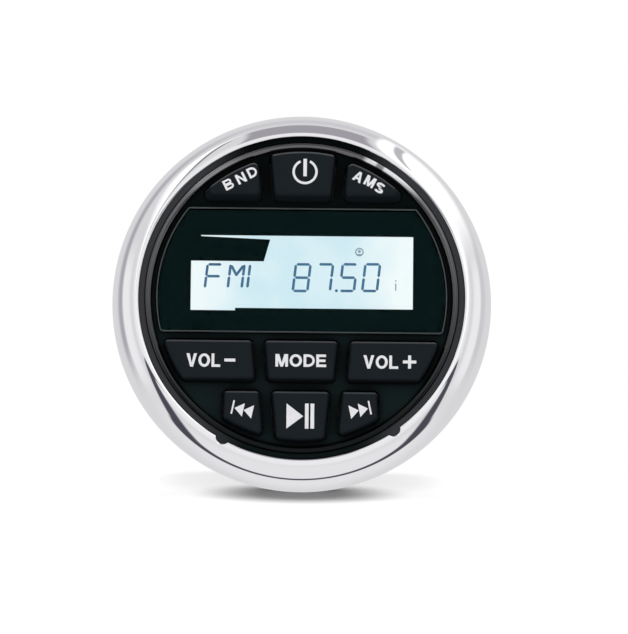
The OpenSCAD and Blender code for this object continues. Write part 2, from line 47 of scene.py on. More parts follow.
# Sizes in millimetres and angles in degrees: radius from the barrel axis, height in front of the panel
FACE_R = 45.0
FACE_Z = 15.5
FIELD_R = FACE_R - 4.8
BORE_R = 39.8
BACK_Z = FACE_Z - 2.0
LENS_LOW = -9.9
LENS_HIGH = 25.0
LENS_TOP = FACE_Z + 0.8
LENS_CORNER = 1.0
LCD_FRONT = 13.1
FAR = 45.2

# Chrome ring and its scallops
BEZEL_R = FACE_R + 7.7
SKIRT_R = BEZEL_R - 1.0
RING_TOP = FACE_Z + 1.0
RING_WIDE = 3.5
LIP_R = 0.6
CREST_R = FACE_R + LIP_R
SHELL_T = 1.4
SHELF_R = 46.4
SHELF_Z = FACE_Z + 0.025
HEEL = 0.5
HEEL_BREAK = 0.2
HOOK = 1.4
HOOK_BREAK = 0.1
HOOK_REACH = 0.7
HOOK_SLOPE = 0.5
NOTCH_R = 2.0
NOTCH_PLACE = 44.2
NOTCH_ANGLES = (-28.5, 35.0)

# Ridge around the face
RIDGE_MID = 42.45
RIDGE_HALF = 1.0
RIDGE_TALL = 1.15
RIDGE_SUNK = 0.05

# Keys
KEYS = ["band", "power", "memory", "volume_down", "mode", "volume_up", "previous", "play", "next"]
TOP_KEYS = ("band", "power", "memory")
TOP_ROW = LENS_HIGH + 1.85
MIDDLE_ROW = LENS_LOW - 2.15
MIDDLE_END = MIDDLE_ROW - 11.45
LOW_ROW = MIDDLE_END - 2.65
POWER_W = 15.9
MODE_W = 20.6
PLAY_W = 16.3
SKIP_W = 9.9
KEY_SPLIT = 3.2
KEY_SLOPE = math.tan(math.radians(5.3))
SKIP_FLARE = math.tan(math.radians(2.0))
POWER_BULGE = 0.75
KEY_CORNER = 1.25
TOP_CORNER = 1.75
KEY_TOP = 18.05
KEY_SLACK = 0.3
KEY_CROWN = 1.1
KEY_INSET = 0.8
KEY_BROW = 1.5
SIDE_BROW = 0.65
TOP_BREAK = 0.1
CAP_Z = 12.95
CAP_NECK = (FACE_Z - 0.9, FACE_Z - 0.6)
FOOT_R = BORE_R - 0.3
FOOT_Z = (BACK_Z - 0.95, BACK_Z - 0.05)
STEM_R = 2.0
STEM_Z = (10.3, BACK_Z - 0.5)
KEY_SPOTS = {
    "band": (-16.45, 30.85), "power": (0, 33.35), "memory": (16.45, 30.85),
    "volume_down": (-23.5, -17.78), "mode": (0, -17.78), "volume_up": (23.5, -17.78),
    "previous": (-15.9, -30.95), "play": (0, -32.65), "next": (15.9, -30.95),
}

# Paint and ink: how far they go in and stand out, and how wide the strokes are
PAINT_LOW = KEY_TOP - 0.02
PAINT_HIGH = KEY_TOP + 0.02
INK_LOW = LCD_FRONT - 0.01
INK_HIGH = LCD_FRONT + 0.02
STROKE_STEP = 0.004
WORD_STROKE = 0.77
SMALL_STROKE = 0.66
SMALL_HALF = 1.45
LETTER_SPACE = 0.13
FLAT_SHARE = 0.92
FIGURE_STROKE = 0.74
FIGURE_LEAN = 0.1

# Floor, camera and lamp, the lamp in metres and watts
FLOOR_TILT = 15.0
FLOOR_REACH = 1500.0
RING_FOOT = (-3.5, -52.75)
BARREL_END = 36.5
VIEW_RISE = 8.6
VIEW_ROLL = 0.6
VIEW_ASIDE = 3.448
VIEW_BELOW = 2.999
VIEW_AWAY = 1500.0
VIEW_LENS = 305.2
LAMP_PLACE = (0.0, 0.12, 0.75)
LAMP_WIDE = 0.5
LAMP_POWER = 6.0

# Counts of points along the round stretches
DOME_STEPS = 48
LIP_STEPS = 8
SHELL_STEPS = 16
CROWN_STEPS = 9
KEY_STEPS = 200
CORE_STEPS = 900
TURN_STEPS = 360
RIDGE_STEPS = 24


# Links a socket to a target, or sets a constant on the target
def wire(tree, target, source):
    if isinstance(source, bpy.types.NodeSocket):
        tree.links.new(source, target)
    else:
        target.default_value = source


def math_node(tree, operation, first, second=0.0, clamp=False):
    node = tree.nodes.new("ShaderNodeMath")
    node.operation = operation
    node.use_clamp = clamp
    wire(tree, node.inputs[0], first)
    wire(tree, node.inputs[1], second)
    return node.outputs[0]


# Product of two or more values
def times(tree, first, *others):
    for other in others:
        first = math_node(tree, "MULTIPLY", first, other)
    return first


# Distance of a value from a middle
def apart_from(tree, value, middle):
    return math_node(tree, "ABSOLUTE", math_node(tree, "SUBTRACT", value, middle))


def ramp(tree, value, low, high, start=0.0, end=1.0):
    node = tree.nodes.new("ShaderNodeMapRange")
    node.interpolation_type = "SMOOTHSTEP"
    wire(tree, node.inputs["Value"], value)
    node.inputs["From Min"].default_value = low
    node.inputs["From Max"].default_value = high
    node.inputs["To Min"].default_value = start
    node.inputs["To Max"].default_value = end
    return node.outputs["Result"]


def mix_colour(tree, share, first, second):
    node = tree.nodes.new("ShaderNodeMix")
    node.data_type = "RGBA"
    wire(tree, node.inputs["Factor"], share)
    wire(tree, node.inputs["A"], first)
    wire(tree, node.inputs["B"], second)
    return node.outputs["Result"]


def rgba(colour):
    return (colour[0], colour[1], colour[2], 1.0)


def place_of(tree, kind="Object"):
    return tree.nodes.new("ShaderNodeTexCoord").outputs[kind]


# The x, y and z of a vector
def axes_of(tree, vector):
    node = tree.nodes.new("ShaderNodeSeparateXYZ")
    tree.links.new(vector, node.inputs["Vector"])
    return node.outputs


def noise(tree, scale, detail, stretch=(1, 1, 1)):
    mapping = tree.nodes.new("ShaderNodeMapping")
    mapping.inputs["Scale"].default_value = stretch
    tree.links.new(place_of(tree), mapping.inputs["Vector"])
    node = tree.nodes.new("ShaderNodeTexNoise")
    node.inputs["Scale"].default_value = scale
    node.inputs["Detail"].default_value = detail
    tree.links.new(mapping.outputs["Vector"], node.inputs["Vector"])
    return node.outputs["Fac"]


def shader_of(material):
    return material.node_tree.nodes["Principled BSDF"]


# What colours a surface so far
def colour_of(shader):
    return shader.inputs["Base Color"].links[0].from_socket


# One surface: grain sets bump and roughness, a broader noise shifts the colour a little
def surface(name, colour, roughness, metallic=0.0, specular=0.5, grain=2500.0, bump=0.1, depth=0.02,
            spread=0.08, mottle=0.08, stretch=(1, 1, 1)):
    material = bpy.data.materials.new(name)
    material.use_nodes = True
    tree = material.node_tree
    shader = shader_of(material)
    fine = noise(tree, grain, 4.0, stretch)
    broad = noise(tree, grain / 14.0, 2.0, stretch)
    low = [channel * (1.0 - mottle) for channel in colour]
    high = [min(1.0, channel * (1.0 + mottle)) for channel in colour]
    tree.links.new(mix_colour(tree, broad, rgba(low), rgba(high)), shader.inputs["Base Color"])
    rough = ramp(tree, fine, 0.25, 0.75, max(0.0, roughness - spread), min(1.0, roughness + spread))
    tree.links.new(rough, shader.inputs["Roughness"])
    shader.inputs["Metallic"].default_value = metallic
    shader.inputs["Specular IOR Level"].default_value = specular
    relief = tree.nodes.new("ShaderNodeBump")
    relief.inputs["Strength"].default_value = bump
    relief.inputs["Distance"].default_value = depth * MM
    tree.links.new(fine, relief.inputs["Height"])
    tree.links.new(relief.outputs["Normal"], shader.inputs["Normal"])
    return material


# Clear acrylic with a faint moulded waviness
def clear_surface(name, colour, ior, roughness):
    material = surface(name, colour, roughness, grain=300.0, bump=0.02, spread=0.01, mottle=0.02)
    shader = shader_of(material)
    shader.inputs["Transmission Weight"].default_value = 1.0
    shader.inputs["IOR"].default_value = ior
    return material


# Black print behind the lens, with a faint cyan gloss
def print_surface(name):
    material = surface(name, (0.0003, 0.001, 0.001), 0.05, specular=0.12, grain=2000.0, bump=0.01,
                       spread=0.02)
    shader_of(material).inputs["Specular Tint"].default_value = rgba((0.35, 1.0, 1.0))
    return material


# Lit display: pale cyan, whiter towards the left and right edges
def display_surface(name):
    material = surface(name, (0.02, 0.02, 0.02), 0.3, grain=900.0, bump=0.02)
    tree = material.node_tree
    shader = shader_of(material)
    axes = axes_of(tree, place_of(tree))
    side = ramp(tree, math_node(tree, "ABSOLUTE", axes["X"]), 12.0 * MM, 31.0 * MM)
    cloud = ramp(tree, noise(tree, 90.0, 1.0), 0.35, 0.65, 0.0, 0.25)
    share = math_node(tree, "ADD", side, cloud, clamp=True)
    glow = mix_colour(tree, share, rgba((0.62, 0.815, 0.885)), rgba((0.88, 0.955, 0.965)))
    tree.links.new(glow, shader.inputs["Emission Color"])
    shader.inputs["Emission Strength"].default_value = 1.0
    shader.inputs["Specular IOR Level"].default_value = 0.1
    return material


# Circuit board: lighter tracks and pads show through the green resist
def board_surface(name):
    material = surface(name, (0.02, 0.14, 0.06), 0.4, grain=1800.0, bump=0.05)
    tree = material.node_tree
    shader = shader_of(material)
    turn = tree.nodes.new("ShaderNodeMapping")
    turn.inputs["Rotation"].default_value = (math.radians(90), 0, 0)
    tree.links.new(place_of(tree), turn.inputs["Vector"])
    tracks = tree.nodes.new("ShaderNodeTexBrick")
    tracks.inputs["Scale"].default_value = 420.0
    tracks.inputs["Mortar Size"].default_value = 0.06
    tracks.inputs["Row Height"].default_value = 0.7
    tree.links.new(turn.outputs["Vector"], tracks.inputs["Vector"])
    green = mix_colour(tree, tracks.outputs["Fac"], colour_of(shader), rgba((0.05, 0.26, 0.11)))
    tree.links.new(green, shader.inputs["Base Color"])
    return material


# Glossy black of the face, with painted light: lighter low down, a painted reflection at the sides of the
# rim, and painted shade in the gaps at the keys
def face_surface(name):
    material = surface(name, (0.002, 0.0058, 0.006), 0.4, specular=0.03, grain=3000.0, bump=0.05)
    tree = material.node_tree
    shader = shader_of(material)
    axes = axes_of(tree, place_of(tree))
    x = axes["X"]
    z = axes["Z"]
    radius = math_node(tree, "SQRT", math_node(tree, "ADD", times(tree, x, x), times(tree, z, z)))
    # Painted reflection: the rim is lighter at the sides
    side = ramp(tree, math_node(tree, "ABSOLUTE", x), 14.0 * MM, 30.0 * MM)
    rim = times(tree, side, ramp(tree, radius, 43.3 * MM, 43.7 * MM))
    # Painted light: lighter low down
    low = ramp(tree, z, -34.0 * MM, 26.0 * MM, 1.0, 0.0)
    field = mix_colour(tree, low, rgba((0.0005, 0.0026, 0.0027)), rgba((0.0095, 0.0195, 0.0203)))
    field = mix_colour(tree, 0.3, field, colour_of(shader))
    # Painted shade: darker in the gaps at the keys, where they stand close
    gap_shade = tree.nodes.new("ShaderNodeAmbientOcclusion")
    gap_shade.samples = 8
    gap_shade.inputs["Distance"].default_value = 6.0 * MM
    field = mix_colour(tree, ramp(tree, gap_shade.outputs["AO"], 0.55, 0.97), rgba((0.0, 0.0002, 0.0002)), field)
    tree.links.new(mix_colour(tree, rim, field, rgba((0.045, 0.048, 0.053))), shader.inputs["Base Color"])
    return material


# Smoked gloss of the ridge, with painted light: lighter towards the top, and a painted highlight brightest
# at the upper right
def ridge_surface(name):
    material = surface(name, (0.1, 0.1, 0.1), 0.16, 1.0, grain=2600.0, bump=0.03, spread=0.04)
    tree = material.node_tree
    shader = shader_of(material)
    axes = axes_of(tree, place_of(tree))
    # Painted light: lighter towards the top
    share = ramp(tree, axes["Z"], -42.0 * MM, 36.0 * MM)
    tint = mix_colour(tree, share, rgba((0.012, 0.014, 0.014)), rgba((0.15, 0.15, 0.155)))
    # Angle from the top, in radians: a long painted glint with a break to the right and a weak one to the
    # left
    turn = math_node(tree, "ARCTAN2", axes["X"], axes["Z"])
    painted_glint = times(tree, ramp(tree, turn, 0.39, 0.44), ramp(tree, turn, 0.62, 0.9, 1.0, 0.0),
                  ramp(tree, apart_from(tree, turn, 0.525), 0.015, 0.04, 0.15, 1.0))
    other = ramp(tree, apart_from(tree, turn, -0.63), 0.08, 0.25, 0.2, 0.0)
    painted_glint = math_node(tree, "MAXIMUM", painted_glint, other)
    tint = mix_colour(tree, painted_glint, tint, rgba((0.8, 0.8, 0.82)))
    tree.links.new(tint, shader.inputs["Base Color"])
    return material


# Soft-touch rubber of the keys, with a painted highlight: lighter along the edges that face up
def key_surface(name):
    material = surface(name, (0.0115, 0.0158, 0.0195), 0.62, specular=0.05, grain=5200.0, bump=0.25,
                       depth=0.012)
    tree = material.node_tree
    shader = shader_of(material)
    # Painted highlight: the colour is lighter where the surface faces up
    facing = tree.nodes.new("ShaderNodeNewGeometry")
    upward = ramp(tree, axes_of(tree, facing.outputs["Normal"])["Z"], 0.2, 0.7)
    painted_highlight = mix_colour(tree, upward, colour_of(shader), rgba((0.07, 0.074, 0.08)))
    tree.links.new(painted_highlight, shader.inputs["Base Color"])
    return material


# Lit paper of the floor, with painted light: it glows brighter away from where the ring stands, so the
# shadow stays a small pool
def paper_surface(name):
    material = surface(name, (0.36, 0.36, 0.36), 0.8, specular=0.0, grain=400.0, bump=0.02, mottle=0.01)
    tree = material.node_tree
    shader = shader_of(material)
    axes = axes_of(tree, place_of(tree))
    along = times(tree, math_node(tree, "ADD", axes["Y"], 6.0 * MM), 1.5)
    across = math_node(tree, "POWER", axes["X"], 2.0)
    far = math_node(tree, "SQRT", math_node(tree, "ADD", across, math_node(tree, "POWER", along, 2.0)))
    # Painted light: a glow that grows with the distance from the ring's foot
    shader.inputs["Emission Color"].default_value = rgba((1.0, 1.0, 1.0))
    tree.links.new(ramp(tree, far, 10.0 * MM, 33.0 * MM, 0.0, 0.75), shader.inputs["Emission Strength"])
    return material


# Finishes by material slot
finishes = {
    "black_gloss": face_surface("black_gloss"),
    "clear_lens": clear_surface("clear_lens", (0.96, 0.98, 0.98), 1.0, 0.02),
    "mask_print": print_surface("mask_print"),
    "soft_key": key_surface("soft_key"),
    "board": board_surface("board"),
    "display_glass": display_surface("display_glass"),
    "guide": clear_surface("guide", (0.85, 0.93, 0.96), 1.49, 0.05),
}


def plain(slot, *look, **details):
    finishes[slot] = surface(slot, *look, **details)


plain("chrome_ring", (0.95, 0.945, 0.955), 0.035, 1.0, grain=600.0, bump=0.01, depth=0.01, spread=0.015,
      mottle=0.01)
plain("switch_plastic", (0.55, 0.52, 0.45), 0.5)
plain("dark_plastic", (0.022, 0.022, 0.024), 0.5, grain=3800.0, bump=0.35)
plain("seal_rubber", (0.02, 0.02, 0.021), 0.75, specular=0.25, grain=1800.0, bump=0.2)
plain("mat_rubber", (0.09, 0.09, 0.1), 0.7)
plain("chip", (0.02, 0.02, 0.021), 0.55, grain=4200.0, bump=0.3)
plain("white_plastic", (0.82, 0.82, 0.8), 0.45)
plain("strip_rubber", (0.2, 0.17, 0.24), 0.7, stretch=(1, 1, 6))
plain("lamp", (0.9, 0.9, 0.75), 0.3)
plain("brass", (0.72, 0.5, 0.2), 0.24, 1.0, grain=2200.0, bump=0.1)
plain("tin", (0.74, 0.75, 0.77), 0.2, 1.0, grain=1500.0, bump=0.05)
plain("steel", (0.6, 0.61, 0.63), 0.28, 1.0, grain=2600.0, bump=0.1)
plain("sleeve", (0.05, 0.055, 0.14), 0.35)
plain("module_blue", (0.03, 0.1, 0.28), 0.4)
plain("ferrite", (0.1, 0.095, 0.095), 0.7, grain=3500.0, bump=0.4)
plain("pad", (0.4, 0.42, 0.45), 0.8, grain=1500.0, bump=0.3)
plain("sink", (0.56, 0.57, 0.59), 0.38, 1.0, grain=2400.0, bump=0.25, spread=0.12, stretch=(1, 1, 0.04))
plain("cream_plastic", (0.7, 0.67, 0.57), 0.42, grain=3200.0, bump=0.2)
plain("insulator", (0.85, 0.85, 0.82), 0.4)

# Finishes of pieces that only the picture has
ridge_gloss = ridge_surface("ridge_gloss")
legend_paint = surface("legend_paint", (0.88, 0.88, 0.9), 0.55, specular=0.3, grain=6000.0, bump=0.1)
segment_ink = surface("segment_ink", (0.068, 0.178, 0.305), 0.6, specular=0.1, grain=4000.0, bump=0.02)
faint_ink = surface("faint_ink", (0.25, 0.35, 0.41), 0.6, specular=0.1, grain=4000.0, bump=0.02)
# Grey of the lens edge, which paints part of its light line as a highlight
lens_rim = surface("lens_rim", (0.08, 0.09, 0.09), 0.35, specular=0.2, grain=2500.0, bump=0.05)

for part in frame["record"]["subparts"]:
    node = frame["nodes"][part["node"]]
    node.data.materials.clear()
    node.data.materials.append(finishes[part["material_slot"]])

# The print is drawn a hair thinner, so that it shares no plane with the lens
PRINT_GAP = 0.04
apart = frame["nodes"]["lens_mask"].modifiers.new("apart", "DISPLACE")
apart.strength = -PRINT_GAP * MM
apart.mid_level = 0.0

# Small edge breaks on the pieces at the back
EDGE_BREAK = 0.2
WELD_REACH = 0.001
for name in ("housing", "rear_cover", "heat_sink", "harness_socket", "panel_gasket", "aerial_nut",
             "mount_studs"):
    weld = frame["nodes"][name].modifiers.new("joined", "WELD")
    weld.merge_threshold = WELD_REACH * MM
    edge = frame["nodes"][name].modifiers.new("edges", "BEVEL")
    edge.width = EDGE_BREAK * MM
    edge.segments = 2
    edge.limit_method = "ANGLE"
    edge.angle_limit = math.radians(50)


# Meshes: points are given as x, up and height in front of the panel, in millimetres
def spot(x, up, out):
    return (x * MM, -out * MM, up * MM)


def add_mesh(name, points, faces, material, body, crease=30.0):
    shape = bmesh.new()
    corners = [shape.verts.new(spot(*point)) for point in points]
    for face in faces:
        shape.faces.new([corners[index] for index in face])
    bmesh.ops.recalc_face_normals(shape, faces=shape.faces)
    mesh = bpy.data.meshes.new(name)
    shape.to_mesh(mesh)
    shape.free()
    mesh.shade_smooth()
    mesh.set_sharp_from_angle(angle=math.radians(crease))
    mesh.materials.append(material)
    piece = bpy.data.objects.new(name, mesh)
    bpy.context.scene.collection.objects.link(piece)
    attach(piece, body)
    return piece


# Faces between closed loops of the same count, from index start on, with both ends filled
def stack_faces(start, loops, count):
    faces = [list(range(start, start + count))]
    for level in range(loops - 1):
        low = start + level * count
        for index in range(count):
            after = (index + 1) % count
            faces.append([low + index, low + after, low + count + after, low + count + index])
    last = start + (loops - 1) * count
    faces.append(list(range(last, last + count)))
    return faces


# Faces around a ring of closed loops of the same count, where the last loop meets the first
def ring_faces(loops, count):
    faces = []
    for turn in range(loops):
        here = turn * count
        there = (turn + 1) % loops * count
        for index in range(count):
            after = (index + 1) % count
            faces.append([here + index, here + after, there + after, there + index])
    return faces


# Flat shapes given as closed loops, raised from one height to another. Each loop ends a little higher
# than the one before, so that crossing strokes don't share a plane
def raised(name, loops, low, high, material, body):
    points = []
    faces = []
    for index, loop in enumerate(loops):
        start = len(points)
        top = high + STROKE_STEP * index
        points += [(x, up, low) for x, up in loop] + [(x, up, top) for x, up in loop]
        faces += stack_faces(start, 2, len(loop))
    add_mesh(name, points, faces, material, body)


# Inner radius of the chrome ring at an angle from the bottom, in degrees, with the scallops
def inner_edge(angle):
    reach = FACE_R
    for notch in NOTCH_ANGLES:
        turn = (angle - notch + 180.0) % 360.0 - 180.0
        across = NOTCH_PLACE * math.sin(math.radians(turn))
        if abs(turn) < 20.0 and abs(across) < NOTCH_R:
            along = NOTCH_PLACE * math.cos(math.radians(turn))
            reach = max(reach, along + math.sqrt(NOTCH_R ** 2 - across ** 2))
    return reach


# Section of the chrome ring as one loop: over the dome and the lip, then back inside the shell to the hook
def ring_profile(inner):
    wide = BEZEL_R - CREST_R
    tall = RING_TOP - RING_WIDE
    last = math.acos(max(0.0, (inner + LIP_R - CREST_R) / wide))
    loop = [(SKIRT_R - HEEL_BREAK, HEEL), (SKIRT_R, HEEL + HEEL_BREAK)]
    for step in range(DOME_STEPS + 1):
        t = last * step / DOME_STEPS
        loop.append((CREST_R + wide * math.cos(t), RING_WIDE + tall * math.sin(t)))
    top = RING_WIDE + tall * math.sin(last)
    for step in range(1, LIP_STEPS + 1):
        t = math.radians(90.0 * step / LIP_STEPS)
        loop.append((inner + LIP_R * (1.0 - math.sin(t)), top - LIP_R * (1.0 - math.cos(t))))
    loop += [(inner, SHELF_Z), (SHELF_R, SHELF_Z)]
    thin = wide - SHELL_T
    low = tall - SHELL_T
    first = math.acos((SHELF_R - CREST_R) / thin)
    for step in range(SHELL_STEPS + 1):
        t = first * (1.0 - step / SHELL_STEPS)
        loop.append((CREST_R + thin * math.cos(t), RING_WIDE + low * math.sin(t)))
    inside = SKIRT_R - SHELL_T
    loop += [(inside + HOOK_BREAK, HOOK), (inside - HOOK_BREAK, HOOK)]
    return loop + [(inside - HOOK_REACH, HOOK - HOOK_SLOPE), (inside - HOOK_REACH, HEEL)]


# Chrome ring, with closer steps at the scallops
def chrome_ring():
    angles = [float(degree) for degree in range(-180, 180)]
    for notch in NOTCH_ANGLES:
        angles += [notch + 0.1 * step + 0.03 for step in range(-29, 30)]
    angles.sort()
    points = []
    for angle in angles:
        x = math.sin(math.radians(angle))
        up = -math.cos(math.radians(angle))
        points += [(r * x, r * up, out) for r, out in ring_profile(inner_edge(angle))]
    faces = ring_faces(len(angles), len(points) // len(angles))
    ring = add_mesh("chrome_ring", points, faces, finishes["chrome_ring"], "unit", 40.0)
    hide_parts("bezel_ring")


# Point of an oval, at an angle in radians
def oval_point(centre, wide, tall, turn):
    return (centre[0] + wide * math.cos(turn), centre[1] + tall * math.sin(turn))


def circle(centre, radius, steps=48):
    return [oval_point(centre, radius, radius, math.tau * k / steps) for k in range(steps)]


# Key outlines before the arc of the field cuts them, from the edge at start to the edge at end
def centre_key(width, start, end):
    near = width / 2.0
    flared = near + KEY_SLOPE * (end - start)
    return [(-near, start), (near, start), (flared, end), (-flared, end)]


def side_key(side, near, start, end, out_start=FAR, out_end=FAR):
    flared = near + KEY_SLOPE * (end - start)
    return [(side * near, start), (side * out_start, start), (side * out_end, end), (side * flared, end)]


KEY_SHAPES = {
    "power": centre_key(POWER_W, TOP_ROW, FAR),
    "mode": centre_key(MODE_W, MIDDLE_ROW, MIDDLE_END),
    "play": centre_key(PLAY_W, LOW_ROW, -FAR),
}
for side, top_key, middle_key, low_key in ((-1, "band", "volume_down", "previous"),
                                           (1, "memory", "volume_up", "next")):
    skip_near = PLAY_W / 2.0 + KEY_SPLIT
    skip_out = skip_near + SKIP_W
    skip_end = skip_out + SKIP_FLARE * (LOW_ROW + FAR)
    KEY_SHAPES[top_key] = side_key(side, POWER_W / 2.0 + KEY_SPLIT, TOP_ROW, FAR)
    KEY_SHAPES[middle_key] = side_key(side, MODE_W / 2.0 + KEY_SPLIT, MIDDLE_ROW, MIDDLE_END)
    KEY_SHAPES[low_key] = side_key(side, skip_near, LOW_ROW, -FAR, skip_out, skip_end)


# Part of a convex shape on the inner side of a line
def clipped(loop, normal, limit):
    kept = []
    for index, point in enumerate(loop):
        before = loop[index - 1]
        here = normal[0] * point[0] + normal[1] * point[1] - limit
        there = normal[0] * before[0] + normal[1] * before[1] - limit
        if (here <= 0.0) != (there <= 0.0):
            share = there / (there - here)
            kept.append(tuple(b + share * (p - b) for b, p in zip(before, point)))
        if here <= 0.0:
            kept.append(point)
    return kept


# Rounded outline of a convex shape cut by an arc, grown by some millimetres, with the lower edge lifted
def outline(shape, arc, corner, grow, lift=0.0, steps=KEY_STEPS):
    core = circle((0.0, 0.0), arc - corner, CORE_STEPS)
    middle = (sum(p[0] for p in shape) / len(shape), sum(p[1] for p in shape) / len(shape))
    for index, point in enumerate(shape):
        before = shape[index - 1]
        edge = Vector((point[1] - before[1], before[0] - point[0])).normalized()
        if edge[0] * (middle[0] - point[0]) + edge[1] * (middle[1] - point[1]) > 0.0:
            edge = -edge
        core = clipped(core, edge, edge[0] * point[0] + edge[1] * point[1] - corner)
    if lift > 0.0:
        low = min(p[1] for p in shape)
        core = clipped(core, (0.0, -1.0), -(low + corner + lift))
    core = np.array(core)
    turns = np.linspace(0.0, math.tau, steps, endpoint=False)
    toward = np.stack([np.cos(turns), np.sin(turns)], axis=1)
    farthest = core[np.argmax(core @ toward.T, axis=0)]
    return [tuple(p) for p in farthest + toward * (corner + grow)]


# Key cap with a rounded edge, a foot behind the face and a stem down to the switch
def key_piece(name):
    shape = KEY_SHAPES[name]
    arc = FIELD_R + (POWER_BULGE if name == "power" else 0.0)
    corner = TOP_CORNER if name in ("band", "memory") else KEY_CORNER
    brow = KEY_BROW if name in TOP_KEYS else 0.0
    side_top = KEY_TOP - KEY_CROWN
    levels = [(0.0, CAP_Z, 0.0), (0.0, CAP_NECK[0], 0.0), (-KEY_SLACK, CAP_NECK[1], 0.0),
              (-KEY_SLACK, FACE_Z, 0.0), (-KEY_SLACK, side_top, SIDE_BROW * brow)]
    for step in range(1, CROWN_STEPS + 1):
        t = math.radians(90.0 * step / CROWN_STEPS)
        levels.append((-KEY_SLACK - KEY_INSET * (1.0 - math.cos(t)), side_top + KEY_CROWN * math.sin(t),
                       brow * (1.0 - (1.0 - SIDE_BROW) * math.cos(t))))
    levels.append((-KEY_SLACK - KEY_INSET - TOP_BREAK, KEY_TOP, brow + TOP_BREAK))
    points = []
    for grow, out, lift in levels:
        points += [(x, up, out) for x, up in outline(shape, arc, corner, grow, lift)]
    faces = stack_faces(0, len(levels), KEY_STEPS)
    foot = outline(shape, FOOT_R, corner, 0.0)
    for loop, (low, high) in ((foot, FOOT_Z), (circle(KEY_SPOTS[name], STEM_R), STEM_Z)):
        start = len(points)
        points += [(x, up, low) for x, up in loop] + [(x, up, high) for x, up in loop]
        faces += stack_faces(start, 2, len(loop))
    piece = add_mesh(f"cap_{name}", points, faces, finishes["soft_key"], f"{name}_key", 50.0)
    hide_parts(f"key_{name}")


# Loop turned about a centre, by an angle in degrees
def turned(loop, centre, angle):
    c = math.cos(math.radians(angle))
    s = math.sin(math.radians(angle))
    out = []
    for x, y in loop:
        dx = x - centre[0]
        dy = y - centre[1]
        out.append((centre[0] + c * dx - s * dy, centre[1] + s * dx + c * dy))
    return out


def bar(x0, y0, x1, y1):
    return [(x0, y0), (x1, y0), (x1, y1), (x0, y1)]


# Part of a ring from one angle to another, as one loop
def band(centre, inner, outer, start, end, steps=40):
    turns = [math.radians(start + (end - start) * k / steps) for k in range(steps + 1)]
    loop = [oval_point(centre, outer, outer, t) for t in turns]
    return loop + [oval_point(centre, inner, inner, t) for t in reversed(turns)]


# Half of an oval stroke that bulges to the right, as one loop
def bulge(left, right, low, high, flat, thick):
    middle = (low + high) / 2.0
    tall = (high - low) / 2.0
    wide = right - flat
    turns = [math.radians(90.0 - 180.0 * k / 24.0) for k in range(25)]
    loop = [(left, high)] + [oval_point((flat, middle), wide, tall, t) for t in turns]
    loop += [(left, low), (left, low + thick)]
    loop += [oval_point((flat, middle), wide - thick, tall - thick, t) for t in reversed(turns)]
    return loop + [(left, high - thick)]


def oval(thick_x, thick_y):
    turns = [math.radians(90.0 + 360.0 * k / 48.0) for k in range(49)]
    loop = [oval_point((0.5, 0.5), 0.5, 0.5, t) for t in turns]
    return loop + [oval_point((0.5, 0.5), 0.5 - thick_x, 0.5 - thick_y, t) for t in reversed(turns)]


# Middle line of an S, and the band of even width along it
def winding(thick_x, thick_y):
    wide = 0.5 - thick_x / 2.0
    tall = 0.255 - thick_y / 2.0
    path = []
    for k in range(19):
        path.append(oval_point((0.5, 0.745), wide, tall, math.radians(20.0 + 250.0 * k / 18.0)))
    for k in range(19):
        path.append(oval_point((0.5, 0.255), wide, tall, math.radians(90.0 - 250.0 * k / 18.0)))
    one_side = []
    other_side = []
    for k in range(len(path)):
        before = path[max(0, k - 1)]
        after = path[min(len(path) - 1, k + 1)]
        ahead = Vector(((after[0] - before[0]) / thick_x, (after[1] - before[1]) / thick_y)).normalized()
        one_side.append((path[k][0] - ahead[1] * thick_x / 2.0, path[k][1] + ahead[0] * thick_y / 2.0))
        other_side.append((path[k][0] + ahead[1] * thick_x / 2.0, path[k][1] - ahead[0] * thick_y / 2.0))
    return one_side + other_side[::-1]


# Bold letters in a box of 1 by 1, as loops; w and h are the stroke's share of the width and height
def letter_loops(letter, w, h):
    if letter == "V":
        return [[(0, 1), (w * 1.1, 1), (0.5, 0.3), (1 - w * 1.1, 1), (1, 1), (0.5 + w * 0.5, 0),
                 (0.5 - w * 0.5, 0)]]
    if letter == "L":
        return [[(0, 0), (1, 0), (1, h), (w, h), (w, 1), (0, 1)]]
    if letter == "E":
        return [[(0, 0), (1, 0), (1, h), (w, h), (w, 0.5 - h / 2), (0.92, 0.5 - h / 2), (0.92, 0.5 + h / 2),
                 (w, 0.5 + h / 2), (w, 1 - h), (0.97, 1 - h), (0.97, 1), (0, 1)]]
    if letter == "M":
        return [bar(0, 0, w, 1), bar(1 - w, 0, 1, 1),
                [(0, 1), (w * 1.35, 1), (0.5, 0.33), (1 - w * 1.35, 1), (1, 1), (0.5 + w * 0.42, 0),
                 (0.5 - w * 0.42, 0)]]
    if letter == "N":
        return [bar(0, 0, w, 1), bar(1 - w, 0, 1, 1), [(0, 1), (w, 1), (1, 0), (1 - w, 0)]]
    if letter == "A":
        return [[(0, 0), (w * 1.1, 0), (0.5, 0.74), (1 - w * 1.1, 0), (1, 0), (0.5 + w * 0.6, 1),
                 (0.5 - w * 0.6, 1)], bar(0.2, 0.22, 0.8, 0.22 + h)]
    if letter == "O":
        return [oval(w, h)]
    if letter == "D":
        return [bar(0, 0, w, 1), bulge(w * 0.5, 1, 0, 1, 0.4, h)]
    if letter == "B":
        return [bar(0, 0, w, 1), bulge(w * 0.5, 0.94, 0.46, 1, 0.62, h * 0.9),
                bulge(w * 0.5, 1, 0, 0.56, 0.64, h * 0.9)]
    return [winding(w, h)]


LETTER_WIDTHS = {"V": 0.94, "O": 1.04, "L": 0.78, "M": 1.06, "D": 0.94, "E": 0.84, "B": 0.9, "N": 0.92,
                 "A": 0.96, "S": 0.86}


